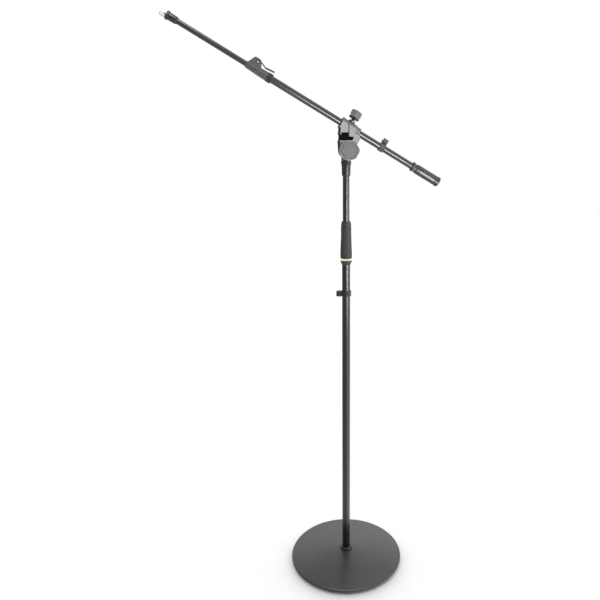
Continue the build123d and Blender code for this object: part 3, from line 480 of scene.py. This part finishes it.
low, high, r = MAST.span("foot_collar")
lower_bore = MAST.span("lower_tube")[2] + 0.05
collar = [(lower_bore, low), (r, low, 0.4), (r, low + 1.2, 0.3), (r - 0.5, low + 1.6, 0.3),
          (r - 0.5, high - 1.8, 0.8), (r - 2.2, high, 0.8), (lower_bore + 0.4, high, 0.3),
          (lower_bore, high - 0.4)]
turned("foot_collar_turned", MAST, "foot_collar", collar, steps=5, segments=128)

tube("lower_mast_tube", MAST, "lower_tube", LOWER_WALL)

# ---- twist clutch -----------------------------------------------------------------------------------
CUP_BORE_R, RIB_ROOT_R = 11.25, 12.0

low, high, r = MAST.span("clutch_cup")
cup = [(lower_bore, low, 0.3), (10.8, low, 0.5), (13.6, low + 7.5, 1.5), (r, low + 9.5, 0.8),
       (r, high - 0.4, 0.3), (r - 0.4, high), (CUP_BORE_R, high), (CUP_BORE_R, low + 2.9),
       (lower_bore, low + 2.9)]
turned("clutch_cup_moulded", MAST, "clutch_cup", cup, steps=5, segments=128)

low, high, r = MAST.span("clutch_colour_ring")
band = [(CUP_BORE_R, low), (r, low, 0.9), (r, high, 0.9), (CUP_BORE_R, high)]
turned("clutch_signal_band", MAST, "clutch_colour_ring", band, steps=6, segments=160)

low, high, r = MAST.span("clutch_grip")
grip = [(11.5, low), (14.1, low, 0.5), (14.3, low + 2.4, 1.0), (14.2, low + 14.4, 5.0),
        (13.4, low + 35.4, 8.0), (12.5, low + 63.4, 5.0), (12.9, low + 69.4, 2.0), (12.8, low + 73.4, 0.5),
        (11.9, low + 74.1, 0.5), (11.9, low + 75.3, 0.5), (12.6, low + 76.0, 0.5), (12.6, low + 77.4, 0.8),
        (12.4, low + 79.9, 3.0), (10.9, high - 0.7, 0.9), (10.2, high, 0.4), (8.5, high, 0.3),
        (8.5, high - 2.0), (9.75, high - 2.0), (9.75, high - 9.7), (10.8, high - 30.1), (11.5, high - 32.1)]
grip_ribs = ribs(30, 0.38, low + 4.0, low + 66.0, fade=6.0, sharpness=0.8)
turned("clutch_grip_ribbed", MAST, "clutch_grip", grip, steps=6, segments=240, run=2.5,
       wave=beyond(RIB_ROOT_R, grip_ribs))

low, high, r = MAST.span("clutch_wiper")
wiper = [(r, low, 0.3), (r, high, 0.3), (8.35, high, 0.3), (8.6, low + 2.5, 0.5), (8.35, low, 0.3)]
turned("clutch_wiper_lip", MAST, "clutch_wiper", wiper, steps=4, segments=96)

# ---- upper mast -------------------------------------------------------------------------------------
tube("upper_mast_tube", MAST, "upper_tube", UPPER_WALL)

low, high, r = MAST.span("socket_sleeve")
upper_bore = MAST.span("upper_tube")[2] + 0.04
sleeve = [(upper_bore, low, 0.3), (9.3, low, 0.4), (10.1, low + 1.6, 0.6), (10.3, low + 4, 1.5),
          (r, high, 0.5), (upper_bore, high)]
turned("socket_sleeve_moulded", MAST, "socket_sleeve", sleeve, steps=5, segments=96)

low, high, r = MAST.span("socket_lock_ring")
ring = [(upper_bore, low), (11.4, low, 0.3), (r, low + 1, 0.5), (r, high - 1.4, 0.5), (11.2, high, 0.4),
        (upper_bore, high)]
turned("socket_lock_ring_knurled", MAST, "socket_lock_ring", ring, steps=4, segments=240, run=0.4,
       wave=beyond(11.8, knurl(36, 0.4, 2.6, low + 1.0, high - 1.2)))

# ---- tilt knob --------------------------------------------------------------------------------------
TILT_BORE_R, TILT_HUB_R, CLAMP_BORE_R, CLAMP_HUB_R = 8.8, 14.0, 4.8, 6.4
TILT_CAP = dict(apothem=20.43, rounding=10.0, edge=2.6, dish_r=15.5, dish=0.6, socket_r=TILT_HUB_R,
                socket=7.0)
CLAMP_CAP = dict(apothem=12.3, rounding=5.5, edge=2.4, dish_r=8.0, dish=0.4, socket_r=CLAMP_HUB_R + 0.1,
                 socket=8.0)
DISH_MARGIN, WELD_GAP = 1.2, 0.02


def knob_cap(name, place, node, apothem, rounding, edge, dish_r, dish, socket_r, socket):
    """A hexagonal cap with rounded corners, a rolled face edge and a shallow dish in its face."""
    low, high, _ = place.span(node)
    reach = rounded_hexagon(apothem, rounding)
    shell = [(socket_r, low), (apothem - 0.5, low), (apothem, low + 0.6)] + rolled_edge(apothem, high, edge)
    shell += soften([(apothem - edge, high), (dish_r + 0.5, high, 0.3), (dish_r - 0.3, high - dish, 0.3),
                     (dish_r * 0.5, high - dish)], 4)[1:]
    shell.append((0.0, high - dish))
    points, faces = lathe(shell, 192, beyond(dish_r + DISH_MARGIN, lambda angle, r, h: reach(angle)),
                          closed=False)
    bore_points, bore_faces = lathe([(0.0, low + socket), (socket_r, low + socket), (socket_r, low)], 192,
                                    closed=False)
    faces += [tuple(index + len(points) for index in face) for face in bore_faces]
    made = piece(name, (points + bore_points, faces), place, node)
    weld = made.modifiers.new("weld", "WELD")
    weld.merge_threshold = WELD_GAP * MM


low, high, r = PIVOT.span("tilt_knob_flange")
cup = [(TILT_BORE_R, low), (11.5, low, 0.4), (12.5, low + 3.7, 2.0), (18.5, low + 6.7, 4.0),
       (21.0, low + 11.2, 3.0), (r, low + 14.2, 1.5), (r, high - 0.8, 0.5), (r - 0.6, high),
       (TILT_BORE_R, high)]
turned("tilt_knob_cup", PIVOT, "tilt_knob_flange", cup, steps=6, segments=288, run=0.8,
       wave=beyond(18.0, ribs(48, 0.35, low + 8.0, high - 0.6)))

low, high, r = PIVOT.span("tilt_knob_ring")
band = [(TILT_HUB_R, low), (r, low, 0.7), (r, high, 0.7), (TILT_HUB_R, high)]
turned("tilt_knob_band", PIVOT, "tilt_knob_ring", band, steps=6, segments=192)
knob_cap("tilt_knob_face", PIVOT, "tilt_knob_cap", **TILT_CAP)

low, high, r = PIVOT.span("knob_washer")
washer = [(4.2, low), (r, low, 0.3), (r, high, 0.3), (4.2, high, 0.2)]
turned("knob_washer_turned", PIVOT, "knob_washer", washer, steps=3, segments=96)

# ---- clamp knob -------------------------------------------------------------------------------------
low, high, r = CLAMP.span("clamp_knob_flange")
back = low + 5.1
flange = [(CLAMP_BORE_R, low), (r - 1.0, low, 0.4), (r, low + 1.0, 0.5), (r, back - 1.0, 0.5),
          (r - 1.0, back, 0.3), (CLAMP_HUB_R, back), (CLAMP_HUB_R, high), (CLAMP_BORE_R, high)]
turned("clamp_knob_cup", CLAMP, "clamp_knob_flange", flange, steps=5, segments=224, run=0.6,
       wave=beyond(11.0, ribs(32, 0.3, low + 0.6, back - 0.4, fade=1.0)))

low, high, r = CLAMP.span("clamp_knob_ring")
band = [(CLAMP_HUB_R + 0.1, low), (r, low, 0.6), (r, high, 0.6), (CLAMP_HUB_R + 0.1, high)]
turned("clamp_knob_band", CLAMP, "clamp_knob_ring", band, steps=5, segments=128)
knob_cap("clamp_knob_face", CLAMP, "clamp_knob_cap", **CLAMP_CAP)

low, high, r = CLAMP.span("clamp_screw")
shank = divide([(r - 0.6, low), (r, low + 0.6), (r, high - 0.6), (r - 0.6, high)], 0.2)
screw_thread = thread(0.45, 1.25, low + 0.4, high - 0.4)
piece("clamp_screw_threaded", lathe([(0.0, low)] + shank + [(0.0, high)], 96, screw_thread, closed=False),
      CLAMP, "clamp_screw")

# ---- boom and counterweight -------------------------------------------------------------------------
CORE_R, NECK_BORE_R, CAP_BORE_R = 10.22, 8.02, 3.0

low, high, r = BOOM.span("clamp_liner")
boom_bore = BOOM.span("boom_outer_tube")[2] + 0.06
liner = [(boom_bore, low), (r - 1.5, low, 0.3), (r - 1.5, high - 1.4, 0.1), (r, high - 1.4, 0.3),
         (r, high, 0.5), (boom_bore, high, 0.3)]
turned("clamp_liner_moulded", BOOM, "clamp_liner", liner, steps=4, segments=128)
tube("boom_tube", BOOM, "boom_outer_tube", BOOM_WALL)

low, high, r = BOOM.span("weight_grip")
weight = [(CORE_R, low), (r - 0.5, low, 0.3), (r, low + 0.8, 0.4)]
for groove in (low + 4.0, low + 6.5, high - 9.0, high - 6.5):
    weight += [(r, groove - 0.6, 0.2), (r - 0.45, groove - 0.2, 0.2), (r - 0.45, groove + 0.2, 0.2),
               (r, groove + 0.6, 0.2)]
weight += [(r, high - 4.5, 1.0), (11.2, high - 0.4, 0.4), (CORE_R, high)]
turned("weight_sleeve_grooved", BOOM, "weight_grip", weight, steps=5, segments=160, run=8.0)

low, high, r = BOOM.span("weight_front_collar")
neck = [(NECK_BORE_R, low), (10.9, low, 0.3), (10.4, high - 7, 1.0), (11.2, high - 3.8, 0.6),
        (r, high - 3, 0.6), (r, high - 1, 0.6), (11.2, high, 0.5), (NECK_BORE_R, high, 0.3)]
neck_flats = ribs(8, 0.7, low + 0.3, high - 3.4, fade=1.0, sharpness=0.6)
turned("weight_neck_collar", BOOM, "weight_front_collar", neck, steps=5, segments=192, run=0.6,
       wave=beyond(10.0, neck_flats))

low, high, r = BOOM.span("weight_end_cap")
cap = [(CAP_BORE_R, high), (r - 0.3, high, 0.3), (r, high - 0.5, 0.3), (r, low + 1.4, 1.2),
       (10.9, low, 0.8), (9.2, low, 0.5), (8.6, low + 1.2, 0.3), (CAP_BORE_R, low + 1.2)]
turned("weight_end_cap_moulded", BOOM, "weight_end_cap", cap, steps=6, segments=128)

# ---- telescope lock ---------------------------------------------------------------------------------
LOCK_BORE_R = 9.02
EYELET_BORE_R, EYELET_R, ROLL = 2.3, 3.2, 0.7

low, high, r = BOOM.span("lock_rear_collar")
collar = [(LOCK_BORE_R, low), (9.9, low, 0.3), (r, low + 1.0, 0.5), (r, high - 1.0, 0.5),
          (10.1, high, 0.3), (LOCK_BORE_R, high)]
turned("lock_collar_ribbed", BOOM, "lock_rear_collar", collar, steps=4, segments=196, run=0.5,
       wave=beyond(9.8, ribs(28, 0.4, low + 0.8, high - 0.8, fade=0.8)))

low, high, r = LEVER.span("lock_eyelet")
eyelet = [(EYELET_BORE_R, low, 0.6), (r, low, 0.3), (r, low + ROLL, 0.2), (EYELET_R, low + ROLL),
          (EYELET_R, high - ROLL), (r, high - ROLL, 0.2), (r, high, 0.3), (EYELET_BORE_R, high, 0.6)]
turned("lock_eyelet_rolled", LEVER, "lock_eyelet", eyelet, steps=5, segments=64)

# ---- inner boom tube and microphone end -------------------------------------------------------------
RING_BORE_R, SPIGOT_R = 4.8, 6.02
STUD_R, STUD_PITCH, STUD_THREAD_DEPTH = 4.76, 1.5875, 0.5
ADAPTER_PITCH, ADAPTER_THREAD_DEPTH, SLOT_HALF, SLOT_DEPTH = 0.94, 0.42, 1.0, 1.2

tube("boom_extension_tube", BOOM, "boom_inner_tube", BOOM_WALL, segments=128)

low, high, r = BOOM.span("mic_end_ring")
ring = [(RING_BORE_R, low), (r - 0.9, low, 0.3), (r, low + 0.9, 0.5), (r, high - 0.9, 0.5),
        (r - 0.9, high, 0.4), (RING_BORE_R, high)]
turned("mic_lock_ring_knurled", BOOM, "mic_end_ring", ring, steps=4, segments=256, run=0.35,
       wave=beyond(9.6, knurl(32, 0.35, 2.2, low + 0.6, high - 0.6)))

shoulder = low - 0.1
seat_end = BOOM.span("boom_inner_tube")[1] + 0.1
low, high, r = BOOM.span("mic_end_fitting")
body = soften([(0.0, seat_end), (SPIGOT_R, seat_end), (SPIGOT_R, low), (7.0, low, 0.3), (r, low + 4.0, 1.5),
               (r, low + 6.0, 0.3), (r - 0.35, low + 6.3, 0.2), (r - 0.35, low + 7.1, 0.2),
               (r, low + 7.4, 0.3), (r, shoulder, 0.4), (STUD_R, shoulder)], 4)
stud = divide([(STUD_R, shoulder + 0.1), (STUD_R, high - 0.7), (STUD_R - 0.6, high)], 0.2)
stud_thread = thread(STUD_THREAD_DEPTH, STUD_PITCH, shoulder + 5.6, high - 0.4)
piece("mic_end_stud", lathe(body + stud + [(0.0, high)], 128, stud_thread, closed=False), BOOM,
      "mic_end_fitting")

low, high, r = BOOM.span("thread_adapter")
bore = STUD_R + 0.06
shell = divide([(r - 0.5, low), (r, low + 0.5), (r, high - 0.6), (r - 0.6, high), (bore + 0.4, high)],
               0.157)
shell += [(bore, high - 0.4), (bore, low + 0.3), (bore + 0.3, low)]
shell_thread = thread(ADAPTER_THREAD_DEPTH, ADAPTER_PITCH, low + 0.3, high - 0.3)
points, faces = lathe(shell, 144, beyond(7.2, shell_thread))
points = [(x, y, min(h, high - SLOT_DEPTH) if abs(x) < SLOT_HALF else h) for x, y, h in points]
piece("mic_thread_adapter", (points, faces), BOOM, "thread_adapter")

# ---- camera -----------------------------------------------------------------------------------------
CAMERA_YAW, CAMERA_PITCH = radians(12.0), radians(10.69)
CAMERA_DISTANCE, CAMERA_HEIGHT = 1.3988, 1.0550
SENSOR_WIDTH, LENS, SHIFT = 36.0, 34.9, (-0.0769, -0.055)

camera = bpy.data.objects.new("camera", bpy.data.cameras.new("camera"))
scene.collection.objects.link(camera)
scene.camera = camera
camera.data.sensor_width = SENSOR_WIDTH
camera.data.lens = LENS
camera.data.shift_x, camera.data.shift_y = SHIFT
camera.location = (-CAMERA_DISTANCE * sin(CAMERA_YAW), -CAMERA_DISTANCE * cos(CAMERA_YAW), CAMERA_HEIGHT)
camera.rotation_euler = (pi / 2 - CAMERA_PITCH, 0, -CAMERA_YAW)

# ---- studio light -----------------------------------------------------------------------------------
# The world is white to the camera, soft light to matt surfaces, and a studio of bands to mirrors.
FLOOR_LIGHT = 1.24

world = bpy.data.worlds.new("studio")
scene.world = world
scene.view_settings.view_transform = "Standard"
studio = Graph(world)
sky = studio.nodes["Background"]
sky.inputs["Color"].default_value = (1.0, 1.0, 1.0, 1.0)
rays = studio.add("LightPath").outputs
heading = studio.add("SeparateXYZ", studio.add("TexCoord").outputs["Generated"]).outputs


def slope(axis, low, high, at_low, at_high):
    """A strength that changes from one side of the studio to the other."""
    return studio.ramp(heading[axis], low, high, at_low, at_high)


sideways = slope("X", -1.0, 1.0, 0.7 * FLOOR_LIGHT, 1.3 * FLOOR_LIGHT)
grazing = studio.math("MULTIPLY", slope("Y", -1.0, 1.0, 0.1, 1.9), slope("Z", 0.1, 0.5, 3.2, 0.6))
soft_light = studio.math("MULTIPLY", sideways, grazing)
low_band = studio.math("MULTIPLY", slope("Z", 0.15, 0.45, 0.0, 1.0), slope("Z", 0.5, 0.78, 1.0, 0.2))
from_behind = studio.math("MULTIPLY", low_band, slope("Y", 0.1, 0.7, 0.0, 1.4))
from_below = studio.math("ADD", from_behind, slope("Z", -0.8, -0.4, 0.9, 0.0))
from_side = studio.math("MULTIPLY", slope("X", -0.3, 0.5, 0.5, 1.7), slope("Y", -0.1, 0.4, 1.0, 0.5))
mirrored = studio.math("ADD", from_side, from_below)
unseen = studio.choose(rays["Is Glossy Ray"], soft_light, mirrored)
studio.feed(sky.inputs["Strength"], studio.choose(rays["Is Camera Ray"], unseen, 1.0))


def softbox(name, at, towards, size, power, only=()):
    """A rectangular lamp seen only as a highlight, on every piece or on some."""
    light = bpy.data.lights.new(name, "AREA")
    light.shape = "RECTANGLE"
    light.size, light.size_y = size
    light.energy = power
    lamp = bpy.data.objects.new(name, light)
    scene.collection.objects.link(lamp)
    lamp.location = at
    lamp.rotation_euler = (Vector(towards) - Vector(at)).to_track_quat("-Z", "Y").to_euler()
    lamp.visible_camera = False
    lamp.visible_diffuse = False
    if only:
        receivers = bpy.data.collections.new(name + "_receivers")
        for lit in only:
            receivers.objects.link(bpy.data.objects[lit])
        lamp.light_linking.receiver_collection = receivers


MAST_GLOSS = ("upper_mast_tube", "lower_mast_tube", "socket_sleeve_moulded")
BOOM_GLOSS = ("boom_tube", "boom_extension_tube")
WEIGHT = ("weight_sleeve_grooved", "weight_end_cap_moulded", "weight_neck_collar")
TIP = ("mic_end_stud", "mic_lock_ring_knurled", "boom_extension_tube")
SATIN = ("boom_holder", "head_base", "tilt_knob_face", "tilt_knob_band", "tilt_knob_cup",
         "clamp_knob_face", "clamp_knob_band", "lock_sleeve", "lock_lever", "clutch_grip_ribbed",
         "mast_cable_clip", "boom_cable_clip")
softbox("front_strip", (0.37, -1.25, 0.72), (0.0, 0.0, 0.85), (0.24, 0.7), 14.0, MAST_GLOSS)
softbox("boom_strip", (0.05, -1.25, 0.62), (0.0, 0.0, 1.0), (0.7, 0.36), 22.0, BOOM_GLOSS)
softbox("weight_strip", (0.25, -1.25, 0.4), (0.25, 0.0, 0.95), (0.7, 0.9), 30.0, WEIGHT)
softbox("tip_top", (-0.55, -0.9, 2.5), (-0.45, 0.0, 1.35), (0.6, 0.4), 20.0, TIP)
softbox("rim_top", (0.0, -0.2, 2.4), (0.0, 0.0, 0.0), (2.2, 2.0), 60.0, ("base_casting",))
softbox("tip_fill", (-0.6, -1.25, 1.25), (-0.4, 0.0, 1.35), (1.0, 1.0), 1.6, ("mic_thread_adapter",))
softbox("satin_fill", (0.27, -1.25, 1.1), (0.0, 0.0, 1.1), (0.6, 0.7), 6.0, SATIN)
softbox("right_fill", (1.7, -0.9, 1.0), (0.0, 0.0, 0.8), (0.9, 1.6), 8.0)
softbox("overhead", (-0.3, -0.7, 2.6), (-0.3, 0.0, 1.2), (1.0, 0.8), 16.0)

# ---- floor ------------------------------------------------------------------------------------------
FLOOR_HALF = 8

floor_mesh = bpy.data.meshes.new("floor")
corners = [(-FLOOR_HALF, -FLOOR_HALF, 0), (FLOOR_HALF, -FLOOR_HALF, 0), (FLOOR_HALF, FLOOR_HALF, 0),
           (-FLOOR_HALF, FLOOR_HALF, 0)]
floor_mesh.from_pydata(corners, [], [(0, 1, 2, 3)])
floor = bpy.data.objects.new("floor", floor_mesh)
scene.collection.objects.link(floor)
floor_mesh.materials.append(finish("pale_floor", (0.93, 0.93, 0.93), roughness=0.8, spread=0.03, tone=0.01,
                                   grain=60, bump=0.02))
floor.visible_glossy = False
floor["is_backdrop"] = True

low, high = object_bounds()
